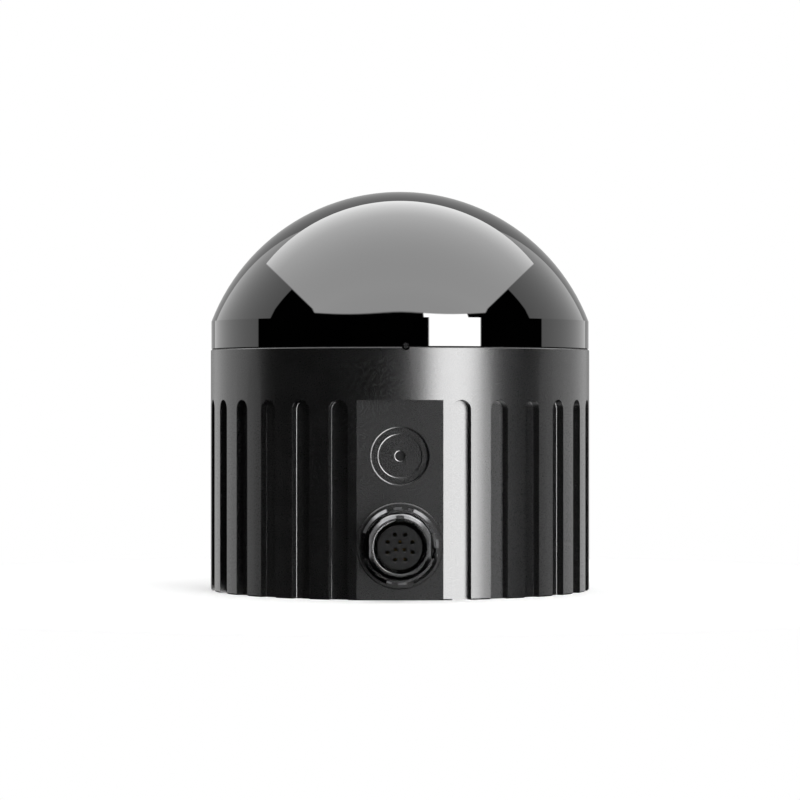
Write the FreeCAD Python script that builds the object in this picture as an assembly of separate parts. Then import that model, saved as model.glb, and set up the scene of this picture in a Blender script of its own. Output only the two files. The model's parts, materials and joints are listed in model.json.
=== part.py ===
import FreeCAD, Part

# Compact dome-topped scanning range sensor, in millimetres.
# A finned round housing carries a domed window. Inside, a spinning optical head rides on two
# small ball bearings above a deck, and the circuit boards sit below the deck, behind the cable
# receptacle in the flat at the front. The frame has +Z up, the origin at the centre of the
# mounting face, and the receptacle towards -Y.

import math
import os

Vector = FreeCAD.Vector
Z_AXIS = Vector(0, 0, 1)
CENTRE = Vector(0, 0, 0)

# Clearances shared by all fits
seat_gap = 0.05          # radial, where one fixed piece seats in another
thread_gap = 0.02        # radial, between a screw and its hole's plain wall
overcut = 1.0            # how far cutting tools run past the face they open

# Housing
body_radius = 30.0
lower_wall = 6.0
upper_wall = 4.5
edge_chamfer = 0.2
rim_chamfer = 0.3
groove_count = 30
groove_width = 3.0
groove_depth = 1.3
groove_mouth_chamfer = 0.04
groove_root_chamfer = 0.05
plain_band = 8.1         # from the rim down to the tops of the grooves
panel_width = 13.0

# Cable receptacle, measured out from the flat panel
seat_height = 0.5        # of the round seat that stands proud of the panel
seat_chamfer = 0.16
seat_margin = 0.68       # of the seat round the nut
sill = 1.65              # housing left below the seat
shell_radius = 4.95
shell_flat = 4.58        # from the axis to each flat on the thread
shell_wall = 1.0
shell_reach = 5.3
lip_chamfer = 0.22       # at the mouth of the bore
lip_front_fall = 0.25    # the front edge is a bevel in two steps, flatter first
lip_rim_fall = 0.47
lip_mark_width = 1.15    # the small index mark in that bevel
lip_mark_height = 0.26
panel_wall = 2.4         # from the panel to the flange's seat inside
flange_overlap = 1.15
flange_thickness = 2.0
shell_tail = 2.0
pocket_clearance = 0.3   # round the flange
pocket_run = 6.0         # how far the flange's pocket runs on behind the lower wall
keyway_width = 1.45
keyway_depth = 0.19
insulator_radius = 3.3
insulator_setback = 0.35
insulator_root = 3.6
insulator_shoulder = 1.0 # from the panel in to where the insulator widens
contact_ring_radius = 2.0
contact_ring_count = 8
contact_core_radius = 0.75
contact_core_count = 3
contact_radius = 0.45
contact_bore = 0.25
contact_entry = 2.6      # from the insulator's face down to the contacts
contact_lead_in = 0.16
contact_socket_depth = 3.5
contact_tail = 2.2
seal_cord = 0.35         # radius of the receptacle's sealing ring
nut_width = 0.87         # radial, outside the thread
nut_reach = 2.0          # how far the nut stands out of the panel
nut_chamfer = 0.42
nut_chamfer_height = 0.57
nut_bore_chamfer = 0.12
nut_slot_width = 3.9
nut_slot_depth = 0.38
washer_thickness = 0.35
washer_teeth = 16
washer_tooth_height = 0.35
washer_notch_width = 1.0
washer_turn = 3.6        # how far it happened to turn as the nut was tightened, in degrees
receptacle_board_thickness = 1.0
flex_thickness = 0.25
flex_gap = 0.02
flex_width = 7.0

# Breather vent in the panel
vent_above_deck = 3.1
vent_radius = 4.3
vent_depth = 1.1
vent_cap_thickness = 0.5
vent_pan_radius = 3.23
vent_pan_depth = 0.16
vent_hole_radius = 0.73
vent_bevel = 0.13
vent_bevel_drop = 0.06
vent_passage_radius = 1.0
membrane_radius = 2.2
membrane_thickness = 0.2

# Base
base_thickness = 2.5
base_gasket_thickness = 0.5
base_rim = 1.7           # width of the shoulder that the gasket lies on
base_flat_inset = 2.5    # how far the flat edge of the base stands inside its round edge
mount_circle_radius = 15.0
mount_hole_radius = 1.25
mount_hole_depth = 4.2
mount_boss_wall = 1.9
mount_boss_roof = 1.0
dowel_radius = 1.5
dowel_depth = 3.0

# Small screws, all of one size
screw_radius = 1.0
screw_head_radius = 1.85
screw_head_height = 1.25
screw_length = 5.0
screw_socket_radius = 0.75
screw_socket_depth = 0.7

# Base screws and their bosses
base_screw_count = 5
boss_wall = 1.7
boss_height = 5.0

# Circuit boards
board_thickness = 1.2
board_gap = 0.6          # from the board's edge to the housing wall
board_front_cut = 5.5    # how far the boards stop short of the wall at the receptacle
board_drop = 2.4         # from the deck down to the main board
board_clearance = 0.8    # from the base's bosses up to the lower board
board_post_x = 14.0
board_post_y = 9.0
post_radius = 2.3
chip_height = 1.4
link_length = 9.0        # the plug and socket between the boards
link_width = 4.0
link_wall = 0.7
link_depth = 2.0
link_y = 13.5
stud_reach = 0.8         # of the boards' posts, into the deck
chip_x = 9.0             # the processor's centre
chip_half = 4.0
memory_height = 1.0
pad_inset = 0.5          # of the thermal pad inside the processor's edge
inductor_half = 2.6
inductor_corner = 0.8
lead_hole_radius = 1.1

# Deck, motor hub and bearings
deck_margin = 1.35
deck_thickness = 2.5
hub_flange_overlap = 4.5
hub_flange_thickness = 1.2
hub_wall = 1.5
hub_lip = 0.5
hub_screw_count = 3
bearing_width = 2.5
bearing_spacing = 3.0
bearing_section = 2.0    # outer radius less bore radius
ball_radius = 0.55
ball_count = 10
race_gap = 0.05
ring_gap = 0.6           # radial space between the two rings
cage_thickness = 0.36
cage_height = 1.7
shaft_radius = 2.5
shaft_bore_radius = 1.2
clip_thickness = 0.4

# Motor
motor_slots = 9
motor_poles = 12
stator_back = 2.2
tooth_share = 0.41       # the teeth's part of the room that the motor and the coils share
stator_tooth_width = 2.2
stator_shoe = 0.8
stator_height = 4.0
coil_build = 1.0
air_gap = 0.4
magnet_thickness = 1.5
yoke_wall = 1.0
yoke_plate = 1.0
yoke_boss = 0.6
yoke_flange = 2.1

# Wireless power coils
ferrite_thickness = 1.5
coil_thickness = 0.9
coil_margin = 0.9
coil_air_gap = 1.3
coil_wall_gap = 3.1      # from the ferrites out to the housing wall
coil_motor_gap = 0.7

# Spinning head
rotor_gap = 1.5
rotor_plate = 1.8
rotor_boss_wall = 2.0
rotor_boss_height = 1.2
encoder_thickness = 0.4
encoder_width = 4.0
encoder_slots = 36
rotor_post_height = 2.0
rotor_post_inset = 6.0   # from the turntable's edge
rotor_board_thickness = 1.0
rotor_board_inset = 2.5
rotor_board_side_gap = 0.4
rotor_chip_inset = 3.0   # from the posts' circle
rotor_chip_height = 0.8
rim_above_rotor = 7.7
head_tilt = 45.0
head_above_rotor = 12.1
head_half_width = 14.0
head_half_depth = 4.5    # along the optical axis
head_half_height = 6.0   # across it
cheek_thickness = 2.0
cheek_half_length = 8.0
optics_screw_spread = 3.6
optics_screw_length = 3.4
foot_width = 4.4
barrel_margin = 1.5      # between the receiver's barrel and the ends of its half of the block
barrel_difference = 1.0  # by which the emitter's barrel is smaller
barrel_seat = 3.0        # the block's floor under the barrels
barrel_reach = 4.5       # beyond the front of the optics block
barrel_wall = 0.7
optics_board_gap = 0.8
baffle_thickness = 1.0
baffle_overhang = 5.0    # across the optical axis, beyond the block
weight_height = 1.4

# Dome
dome_inset = 0.1         # the dome's skirt stands this far inside the housing
dome_bulge = 2.1         # the sphere's radius less the skirt's
dome_skirt = 4.3
dome_wall = 1.6
dome_foot = 1.4
spigot_wall = 1.2
spigot_depth = 3.3
spigot_inset = 2.9       # from the skirt in to the spigot
dome_seal_cord = 0.5
index_pin_radius = 0.6
index_pin_chamfer = 0.2
index_pin_length = 1.6
index_pin_offset = 0.88  # sideways from the centre line

# Levels and radii that follow from the sizes above
seat_radius = shell_radius + nut_width + seat_margin
receptacle_height = sill + seat_radius
shoulder_z = base_thickness + base_gasket_thickness
deck_z = receptacle_height + seat_radius + deck_margin
deck_top = deck_z + deck_thickness
bearing_z = deck_top + hub_lip
upper_bearing_z = bearing_z + bearing_width + bearing_spacing
bearing_top = upper_bearing_z + bearing_width
yoke_plate_z = bearing_top + yoke_boss
rotor_z = yoke_plate_z + yoke_plate
rotor_top = rotor_z + rotor_plate
rotor_board_z = rotor_top + rotor_post_height
rim_z = rotor_top + rim_above_rotor
groove_top = rim_z - plain_band
panel_distance = math.sqrt(body_radius**2 - (panel_width / 2) ** 2)
lower_radius = body_radius - lower_wall
upper_radius = body_radius - upper_wall
base_radius = lower_radius + base_rim
base_flat = base_radius - base_flat_inset
main_board_top = deck_z - board_drop
main_board_z = main_board_top - board_thickness
mount_boss_top = mount_hole_depth + mount_boss_roof
power_board_z = mount_boss_top + board_clearance
power_board_top = power_board_z + board_thickness
link_seam_z = (power_board_top + main_board_z) / 2 + 0.8
board_radius = lower_radius - board_gap
board_front = lower_radius - board_front_cut
boss_radius = screw_radius + boss_wall
base_screw_circle = lower_radius - boss_radius + 0.3
bearing_radius = shaft_radius + bearing_section
hub_radius = bearing_radius + hub_wall
hub_flange_radius = hub_radius + hub_flange_overlap
hub_screw_circle = (hub_radius + hub_flange_radius) / 2
ferrite_outer = upper_radius - coil_wall_gap
motor_room = (ferrite_outer - coil_motor_gap - yoke_wall - magnet_thickness - air_gap
              - stator_shoe - stator_back - hub_radius)
stator_tooth_root = hub_radius + stator_back
stator_tooth_tip = stator_tooth_root + tooth_share * motor_room
stator_radius = stator_tooth_tip + stator_shoe
stator_mid_z = (deck_top + hub_flange_thickness + yoke_plate_z) / 2 - 0.65
magnet_inner = stator_radius + air_gap
yoke_inner = magnet_inner + magnet_thickness
yoke_radius = yoke_inner + yoke_wall
ferrite_inner = yoke_radius + coil_motor_gap
primary_coil_z = deck_top + ferrite_thickness
secondary_coil_z = primary_coil_z + coil_thickness + coil_air_gap
secondary_ferrite_z = secondary_coil_z + coil_thickness
secondary_ferrite_top = secondary_ferrite_z + ferrite_thickness
rotor_radius = upper_radius - rotor_gap
skirt_radius = body_radius - dome_inset
dome_radius = skirt_radius + dome_bulge
skirt_top = rim_z + dome_skirt
dome_z = skirt_top - math.sqrt(dome_radius**2 - skirt_radius**2)
dome_inner = dome_radius - dome_wall
spigot_radius = skirt_radius - spigot_inset
spigot_bore = spigot_radius - spigot_wall
head_z = rotor_top + head_above_rotor
barrel_offset = head_half_width / 2
receiver_radius = barrel_offset - barrel_margin
emitter_radius = receiver_radius - barrel_difference
rotor_strip = head_half_width - rotor_board_side_gap


# Shape helpers

def disc(radius, z0, z1, x=0.0, y=0.0):
    """A solid cylinder standing on z0."""
    return Part.makeCylinder(radius, z1 - z0, Vector(x, y, z0))


def ring(outer, inner, z0, z1, x=0.0, y=0.0):
    """A tube from z0 to z1."""
    return disc(outer, z0, z1, x, y).cut(disc(inner, z0 - overcut, z1 + overcut, x, y))


def block(x0, x1, y0, y1, z0, z1):
    """A box given by its limits."""
    return Part.makeBox(x1 - x0, y1 - y0, z1 - z0, Vector(x0, y0, z0))


def turned(points):
    """A solid of revolution about Z from (radius, height) points."""
    outline = [Vector(radius, 0, height) for radius, height in points]
    face = Part.Face(Part.makePolygon(outline + [outline[0]]))
    return face.revolve(CENTRE, Z_AXIS, 360)


def prism(points, height):
    """An upright prism from (x, y) points, standing on z = 0."""
    outline = [Vector(x, y, 0) for x, y in points]
    return Part.Face(Part.makePolygon(outline + [outline[0]])).extrude(Vector(0, 0, height))


def torus(major, minor, z):
    """A round sealing ring lying level at height z."""
    return Part.makeTorus(major, minor, Vector(0, 0, z), Z_AXIS)


def polar(radius, degrees):
    """The x and y of a point on a circle about Z."""
    angle = math.radians(degrees)
    return radius * math.cos(angle), radius * math.sin(angle)


def spun(shape, degrees):
    """A copy turned about Z."""
    copy = shape.copy()
    copy.rotate(CENTRE, Z_AXIS, degrees)
    return copy


def joined(shapes):
    """One solid from several that meet."""
    return shapes[0].fuse(shapes[1:]).removeSplitter()


def group(shapes):
    """Several separate solids of one kind in one node."""
    return Part.makeCompound(shapes)


def on_panel(shape, height):
    """Stands a shape on the front panel: its +Z points out of the panel and its +Y up."""
    copy = shape.copy()
    copy.rotate(CENTRE, Vector(1, 0, 0), 90)
    copy.translate(Vector(0, -panel_distance, height))
    return copy


def in_head(shape):
    """Puts a shape into the tilted head: its +Z is the optical axis and its +Y points up and back."""
    copy = shape.copy()
    copy.rotate(CENTRE, Vector(1, 0, 0), 90)
    copy.rotate(CENTRE, Z_AXIS, 180)
    copy.rotate(CENTRE, Vector(1, 0, 0), head_tilt)
    copy.translate(Vector(0, 0, head_z))
    return copy


def d_shape(radius, flat, z0, z1):
    """A round slab with a flat towards -Y."""
    beyond = block(-radius, radius, -radius - overcut, -flat, z0 - overcut, z1 + overcut)
    return disc(radius, z0, z1).cut(beyond)


def screw(x, y, under_head, length=screw_length, head_up=True):
    """A socket-head screw whose head seats at under_head."""
    shank = disc(screw_radius, -length, 0)
    head = disc(screw_head_radius, 0, screw_head_height)
    socket = disc(screw_socket_radius, screw_head_height - screw_socket_depth,
                  screw_head_height + overcut)
    made = shank.fuse(head).removeSplitter().cut(socket)
    if not head_up:
        made.rotate(CENTRE, Vector(1, 0, 0), 180)
    made.translate(Vector(x, y, under_head))
    return made


def base_screw_places():
    """Where the base's screws stand. None is at the front, under the receptacle."""
    step = 360 / base_screw_count
    return [polar(base_screw_circle, 90 + step * i) for i in range(base_screw_count)]


def board_places():
    """Where the circuit boards' posts stand."""
    return [(sx * board_post_x, sy * board_post_y) for sx in (-1, 1) for sy in (-1, 1)]


# Housing

def groove_tool():
    """Cutter for one vertical cooling groove with a round top, at the +X side."""
    half = groove_width / 2
    floor = body_radius - groove_depth
    flare = overcut + groove_mouth_chamfer
    side = [
        (floor, half - groove_root_chamfer),
        (floor + groove_root_chamfer, half),
        (body_radius - groove_mouth_chamfer, half),
        (body_radius + overcut, half + flare),
    ]
    outline = side + [(x, -y) for x, y in reversed(side)]
    end_z = groove_top - half
    straight = prism(outline, end_z + overcut)
    straight.translate(Vector(0, 0, -overcut))
    half_outline = [Vector(x, y, end_z) for x, y in side]
    half_outline.append(Vector(body_radius + overcut, 0, end_z))
    half_outline.append(Vector(floor, 0, end_z))
    face = Part.Face(Part.makePolygon(half_outline + [half_outline[0]]))
    top = face.revolve(Vector(0, 0, end_z), Vector(1, 0, 0), 360)
    return straight.fuse(top)


def groove_angles():
    """Angles of the grooves, evenly round the housing apart from those that the panel replaces."""
    step = 360 / groove_count
    half_panel = math.degrees(math.asin(panel_width / 2 / body_radius))
    half_groove = math.degrees(math.asin(groove_width / 2 / body_radius))
    angles = []
    for i in range(groove_count):
        from_front = step / 2 + step * i
        away = min(from_front, 360 - from_front)
        if away > half_panel + half_groove:
            angles.append(from_front - 90)
    return angles


def shell_section(radius, flat, z0, z1):
    """The receptacle's thread form, round with a flat at each side."""
    return disc(radius, z0, z1).common(block(-flat, flat, -radius, radius, z0, z1))


def housing():
    outer = turned([
        (0, 0),
        (body_radius - edge_chamfer, 0),
        (body_radius, edge_chamfer),
        (body_radius, rim_z - rim_chamfer),
        (body_radius - rim_chamfer, rim_z),
        (0, rim_z),
    ])
    panel = block(-panel_width, panel_width, -body_radius - overcut, -panel_distance, -overcut,
                  groove_top)
    seat_z = rim_z - spigot_depth - seat_gap
    tools = [
        d_shape(base_radius + seat_gap, base_flat + seat_gap, -overcut, shoulder_z),
        disc(upper_radius, deck_top, rim_z + overcut),
        disc(spigot_radius + seat_gap, seat_z, rim_z + overcut),
        disc(hub_radius - hub_wall, deck_z - overcut, deck_top + overcut),
    ]
    lower_bay = disc(lower_radius, shoulder_z - overcut, deck_z)
    bosses = [disc(boss_radius, shoulder_z, shoulder_z + boss_height, x, y)
              for x, y in base_screw_places()]
    posts = [disc(post_radius, main_board_top, deck_z, x, y) for x, y in board_places()]
    tools.append(lower_bay.cut(bosses + posts))
    for x, y in base_screw_places():
        hole_top = shoulder_z + boss_height - overcut
        tools.append(disc(screw_radius + thread_gap, shoulder_z - overcut, hole_top, x, y))
    for x, y in board_places():
        tools.append(disc(screw_radius + thread_gap, main_board_top - overcut,
                          deck_z + stud_reach + 0.2, x, y))
    for i in range(hub_screw_count):
        x, y = polar(hub_screw_circle, 360 / hub_screw_count * i)
        tools.append(disc(screw_radius + thread_gap, deck_z - overcut, deck_top + overcut, x, y))
    tools += receptacle_tools() + vent_tools() + [index_hole()]
    lead_x, lead_y = polar(ferrite_outer + coil_wall_gap / 2, 60)
    tools.append(disc(lead_hole_radius, deck_z - overcut, deck_top + overcut, lead_x, lead_y))
    angles = groove_angles()
    groove = groove_tool()
    tools += [spun(groove, angle) for angle in angles]
    return joined([outer.cut(panel), receptacle_seat()]).cut(tools).removeSplitter()


def mouth(radius, width, drop, level=0.0):
    """Cutter for the bevel round a hole's mouth, by its width and how deep it goes."""
    height = drop + overcut
    return Part.makeCone(radius, radius + width / drop * height, height,
                         Vector(0, 0, level - drop))


def receptacle_seat():
    """The round seat round the receptacle, with a small chamfer on its edge."""
    root = -panel_wall / 2
    return on_panel(turned([
        (0, root),
        (seat_radius, root),
        (seat_radius, seat_height - seat_chamfer),
        (seat_radius - seat_chamfer, seat_height),
        (0, seat_height),
    ]), receptacle_height)


def flange_pocket():
    """The pocket behind the panel wall that the receptacle's flange and tail sit in."""
    end = -(panel_distance - lower_radius + pocket_run)
    radius = shell_radius + flange_overlap + pocket_clearance
    return on_panel(disc(radius, end, -panel_wall), receptacle_height)


def receptacle_tools():
    """The hole for the shell and the pocket for its flange."""
    hole = shell_section(shell_radius + seat_gap, shell_flat + seat_gap, -panel_wall - overcut,
                         seat_height + overcut)
    return [on_panel(hole, receptacle_height), flange_pocket()]


def vent_tools():
    """The stepped hole for the breather's cap and membrane."""
    height = deck_top + vent_above_deck
    wall = panel_distance - upper_radius
    return [
        on_panel(disc(vent_radius, -vent_depth, overcut), height),
        on_panel(mouth(vent_radius, vent_bevel, vent_bevel_drop), height),
        on_panel(disc(membrane_radius + seat_gap, -vent_depth - membrane_thickness, 0), height),
        on_panel(disc(vent_passage_radius, -wall - overcut, 0), height),
    ]


def at_seam(shape):
    """Stands a shape on the dome's skirt at the seam: its +Z points out of the front."""
    face = math.sqrt(skirt_radius**2 - index_pin_offset**2)
    copy = shape.copy()
    copy.rotate(CENTRE, Vector(1, 0, 0), 90)
    copy.translate(Vector(index_pin_offset, -face, rim_z))
    return copy


def index_hole():
    """The small round hole across the seam between the dome and the rim."""
    return at_seam(disc(index_pin_radius + seat_gap, -index_pin_length, overcut))


def index_pin():
    """The locating pin in that hole, with its chamfered end almost flush."""
    pin = disc(index_pin_radius, -index_pin_length, -thread_gap)
    front = [edge for edge in pin.Edges
             if min(vertex.Z for vertex in edge.Vertexes) > -2 * thread_gap]
    return at_seam(pin.makeChamfer(index_pin_chamfer, front))


# Dome and its seal

def dome():
    inner_kink = dome_z + math.sqrt(dome_inner**2 - (skirt_radius - dome_wall) ** 2)
    arc_height = math.sin(math.radians(55))
    arc_width = math.cos(math.radians(55))
    foot_z = rim_z + dome_foot

    def point(radius, height):
        return Vector(radius, 0, height)

    outer_arc = Part.Arc(
        point(skirt_radius, skirt_top),
        point(dome_radius * arc_width, dome_z + dome_radius * arc_height),
        point(0, dome_z + dome_radius),
    ).toShape()
    inner_arc = Part.Arc(
        point(0, dome_z + dome_inner),
        point(dome_inner * arc_width, dome_z + dome_inner * arc_height),
        point(skirt_radius - dome_wall, inner_kink),
    ).toShape()
    seal_z = rim_z - spigot_depth / 2
    cord = dome_seal_cord
    foot = Part.makePolygon([
        point(skirt_radius - dome_wall, inner_kink),
        point(skirt_radius - dome_wall, foot_z + 1.0),
        point(spigot_bore, foot_z),
        point(spigot_bore, rim_z - spigot_depth),
        point(spigot_radius, rim_z - spigot_depth),
        point(spigot_radius, seal_z - cord - 0.1),
        point(spigot_radius - 2 * cord + 0.2, seal_z - cord - 0.1),
        point(spigot_radius - 2 * cord + 0.2, seal_z + cord + 0.1),
        point(spigot_radius, seal_z + cord + 0.1),
        point(spigot_radius, rim_z),
        point(skirt_radius, rim_z),
        point(skirt_radius, skirt_top),
    ])
    axis_edge = Part.LineSegment(
        point(0, dome_z + dome_radius), point(0, dome_z + dome_inner)
    ).toShape()
    wire = Part.Wire([outer_arc, axis_edge, inner_arc] + foot.Edges)
    solid = Part.Face(wire).revolve(CENTRE, Z_AXIS, 360)
    return Part.Solid(solid.cut(index_hole()).Shells[0])


def dome_seal():
    groove_floor = spigot_radius - 2 * dome_seal_cord + 0.2
    room = spigot_radius + seat_gap - groove_floor
    cord = min(dome_seal_cord, room / 2 - 0.005)
    return torus(groove_floor + room / 2, cord, rim_z - spigot_depth / 2)


# Base plate, gasket and screws

def mount_places():
    return [polar(mount_circle_radius, 90 * i) for i in range(4)]


def dowel_places():
    return [polar(mount_circle_radius, 45), polar(mount_circle_radius, 225)]


def base_plate():
    plate = d_shape(base_radius, base_flat, 0, base_thickness)
    rim_edges = [edge for edge in plate.Edges
                 if max(vertex.Z for vertex in edge.Vertexes) < 1e-6]
    plate = plate.makeChamfer(edge_chamfer, rim_edges)
    boss = mount_hole_radius + mount_boss_wall
    dowel_boss = dowel_radius + 1.3
    adds = [disc(boss, 0.5, mount_boss_top, x, y) for x, y in mount_places()]
    adds += [disc(dowel_boss, 0.5, dowel_depth + mount_boss_roof, x, y) for x, y in dowel_places()]
    tools = [disc(mount_hole_radius, -overcut, mount_hole_depth, x, y) for x, y in mount_places()]
    tools += [disc(dowel_radius, -overcut, dowel_depth, x, y) for x, y in dowel_places()]
    head_room = screw_head_radius + 0.2
    for x, y in base_screw_places():
        tools.append(disc(screw_radius + 0.1, -overcut, base_thickness + overcut, x, y))
        tools.append(disc(head_room, -overcut, screw_head_height + 0.1, x, y))
    return joined([plate] + adds).cut(tools)


def base_gasket():
    slab = d_shape(base_radius, base_flat, base_thickness, shoulder_z)
    opening = disc(lower_radius, base_thickness - overcut, shoulder_z + overcut)
    around = [disc(boss_radius, base_thickness - 2 * overcut, shoulder_z + 2 * overcut, x, y)
              for x, y in base_screw_places()]
    holes = [disc(screw_radius + 0.1, base_thickness - overcut, shoulder_z + overcut, x, y)
             for x, y in base_screw_places()]
    return slab.cut(opening.cut(around)).cut(holes + [flange_pocket()])


def base_screws():
    return group([screw(x, y, screw_head_height + 0.1, head_up=False)
                  for x, y in base_screw_places()])


# Cable receptacle

def lip_tool(bore):
    """Turns the shell's front edge to a bevel in two steps."""
    inner = bore + lip_chamfer
    step = (shell_radius - inner) / 2
    run = step + overcut
    return turned([
        (inner, shell_reach),
        (inner + step, shell_reach - lip_front_fall),
        (inner + step + run, shell_reach - lip_front_fall - lip_rim_fall * run / step),
        (inner + step + run, shell_reach + overcut),
        (inner, shell_reach + overcut),
    ])


def receptacle_shell():
    flange_z = -panel_wall - flange_thickness
    thread = shell_section(shell_radius, shell_flat, flange_z + 0.5, shell_reach)
    flange = disc(shell_radius + flange_overlap, flange_z, -panel_wall)
    tail = disc(insulator_root + 0.6, flange_z - shell_tail, flange_z)
    body = joined([thread, flange, tail])
    bore = shell_radius - shell_wall
    seal_ring = shell_radius + flange_overlap / 2
    groove = ring(seal_ring + seal_cord + 0.02, seal_ring - seal_cord - 0.02,
                  -panel_wall - 2 * seal_cord, -panel_wall + overcut)
    keyway = block(-keyway_width / 2, keyway_width / 2, bore - 0.5, bore + keyway_depth,
                   -insulator_shoulder, shell_reach + overcut)
    mark_top = shell_radius - 0.19
    mark = block(-lip_mark_width / 2, lip_mark_width / 2, mark_top - lip_mark_height, mark_top,
                 shell_reach - lip_front_fall - lip_rim_fall, shell_reach + overcut)
    made = body.cut([
        disc(bore, -insulator_shoulder, shell_reach + overcut),
        disc(insulator_root + seat_gap, flange_z - shell_tail - overcut, -insulator_shoulder),
        groove,
        keyway,
        mark,
        lip_tool(bore),
        mouth(bore, lip_chamfer, lip_chamfer, shell_reach),
    ])
    return on_panel(made, receptacle_height)


def contact_places():
    outer_step = 360 / contact_ring_count
    core_step = 360 / contact_core_count
    outer = [polar(contact_ring_radius, outer_step * (i + 0.5)) for i in range(contact_ring_count)]
    core = [polar(contact_core_radius, 90 + core_step * i) for i in range(contact_core_count)]
    return outer + core


def receptacle_insulator():
    front = shell_reach - insulator_setback
    back = -panel_wall - flange_thickness - shell_tail
    body = joined([
        disc(insulator_radius, back, front),
        disc(insulator_root, back, -insulator_shoulder),
    ])
    wide = contact_radius + thread_gap
    entry = contact_bore + thread_gap
    hole = turned([
        (0, back - overcut),
        (wide, back - overcut),
        (wide, front - contact_entry),
        (entry, front - contact_entry),
        (entry, front - contact_lead_in),
        (entry + 2 * contact_lead_in, front + contact_lead_in),
        (0, front + contact_lead_in),
    ])
    holes = [hole.translated(Vector(x, y, 0)) for x, y in contact_places()]
    return on_panel(body.cut(holes), receptacle_height)


def receptacle_contacts():
    front = shell_reach - insulator_setback - contact_entry - thread_gap
    back = -panel_wall - flange_thickness - shell_tail
    made = []
    for x, y in contact_places():
        barrel = disc(contact_radius, back, front, x, y)
        tail = disc(contact_bore, back - contact_tail, back, x, y)
        socket = disc(contact_bore, front - contact_socket_depth, front + overcut, x, y)
        made.append(on_panel(joined([barrel, tail]).cut(socket), receptacle_height))
    return group(made)


def receptacle_seal():
    return on_panel(torus(shell_radius + flange_overlap / 2, seal_cord - 0.01,
                          -panel_wall - seal_cord), receptacle_height)


def receptacle_washer():
    """A toothed lock washer under the nut. Its teeth show through the nut's slots."""
    inner = shell_radius + 0.15
    tooth = shell_radius + nut_width - thread_gap
    step = 360 / washer_teeth
    top = seat_height + washer_thickness
    notch = block(tooth - washer_tooth_height, tooth + overcut, -washer_notch_width / 2,
                  washer_notch_width / 2, seat_height - overcut, top + overcut)
    tools = [spun(notch, washer_turn + step * (i + 0.5)) for i in range(washer_teeth)]
    made = ring(tooth, inner, seat_height, top).cut(tools)
    return on_panel(made, receptacle_height)


def receptacle_nut():
    """A round nut with four spanner slots, screwed on the shell from outside."""
    outer = shell_radius + nut_width
    bore = shell_radius + thread_gap
    bottom = seat_height + washer_thickness
    nut = turned([
        (bore, bottom),
        (outer, bottom),
        (outer, nut_reach - nut_chamfer_height),
        (outer - nut_chamfer, nut_reach),
        (bore + nut_bore_chamfer, nut_reach),
        (bore, nut_reach - nut_bore_chamfer),
    ])
    slot = block(outer - nut_slot_depth, outer + overcut, -nut_slot_width / 2, nut_slot_width / 2,
                 bottom - overcut, nut_reach + overcut)
    return on_panel(nut.cut([spun(slot, 90 * i) for i in range(4)]), receptacle_height)


def receptacle_board_face():
    """Distance from the panel in to the receptacle board's inner face."""
    return panel_wall + flange_thickness + shell_tail + contact_tail - 0.5


def receptacle_board():
    """A small upright board that the contact tails are soldered into."""
    inner = receptacle_board_face()
    outer = inner - receptacle_board_thickness
    half = insulator_root + 0.5
    board = block(-half - 1.0, half + 1.0, -half, half, -inner, -outer)
    holes = [disc(contact_bore + thread_gap, -inner - overcut, -outer + overcut, x, y)
             for x, y in contact_places()]
    return on_panel(board.cut(holes), receptacle_height)


def ribbon(path, radius, width, thickness):
    """A flat flexible lead: a path in the Y-Z plane with round bends, given as (y, z) points."""
    edges = []
    previous = Vector(0, *path[0])
    for i in range(1, len(path) - 1):
        corner = Vector(0, *path[i])
        before = Vector(0, *path[i - 1]) - corner
        after = Vector(0, *path[i + 1]) - corner
        before.normalize()
        after.normalize()
        half_turn = (math.pi - before.getAngle(after)) / 2
        trim = radius * math.tan(half_turn)
        start = corner + before * trim
        end = corner + after * trim
        bisector = before + after
        bisector.normalize()
        centre = corner + bisector * (radius / math.cos(half_turn))
        middle = centre - bisector * radius
        edges.append(Part.LineSegment(previous, start).toShape())
        edges.append(Part.Arc(start, middle, end).toShape())
        previous = end
    edges.append(Part.LineSegment(previous, Vector(0, *path[-1])).toShape())
    spine = Part.Wire(edges)
    start = Vector(0, *path[0])
    along = Vector(0, *path[1]) - start
    along.normalize()
    across = along.cross(Vector(1, 0, 0)) * (thickness / 2)
    side = Vector(width / 2, 0, 0)
    corners = [start - side - across, start + side - across,
               start + side + across, start - side + across]
    section = Part.makePolygon(corners + [corners[0]])
    return spine.makePipeShell([section], True, False)


def receptacle_flex():
    """The flexible lead from the receptacle board down to the power board."""
    lift = flex_thickness / 2 + flex_gap
    face_y = -panel_distance + receptacle_board_face() + lift
    lie_z = power_board_top + lift
    path = [(face_y, receptacle_height + insulator_root), (face_y, lie_z),
            (face_y + flex_width, lie_z)]
    inner = receptacle_board_face()
    holes = [on_panel(disc(contact_bore + 0.1, -inner - overcut, -inner + 0.5, x, y),
                      receptacle_height) for x, y in contact_places()]
    return ribbon(path, 0.6, flex_width, flex_thickness).cut(holes)


# Vent

def vent_cap():
    top = -vent_depth + vent_cap_thickness
    floor = top - vent_pan_depth
    cap = disc(vent_radius - seat_gap, -vent_depth, top)
    tools = [
        disc(vent_pan_radius, floor, overcut),
        mouth(vent_pan_radius, vent_bevel, vent_bevel_drop, top),
        disc(vent_hole_radius, -vent_depth - overcut, overcut),
        mouth(vent_hole_radius, vent_bevel, vent_bevel_drop, floor),
    ]
    return on_panel(cap.cut(tools), deck_top + vent_above_deck)


def vent_membrane():
    return on_panel(disc(membrane_radius, -vent_depth - membrane_thickness, -vent_depth),
                    deck_top + vent_above_deck)


# Circuit boards below the deck

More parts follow.
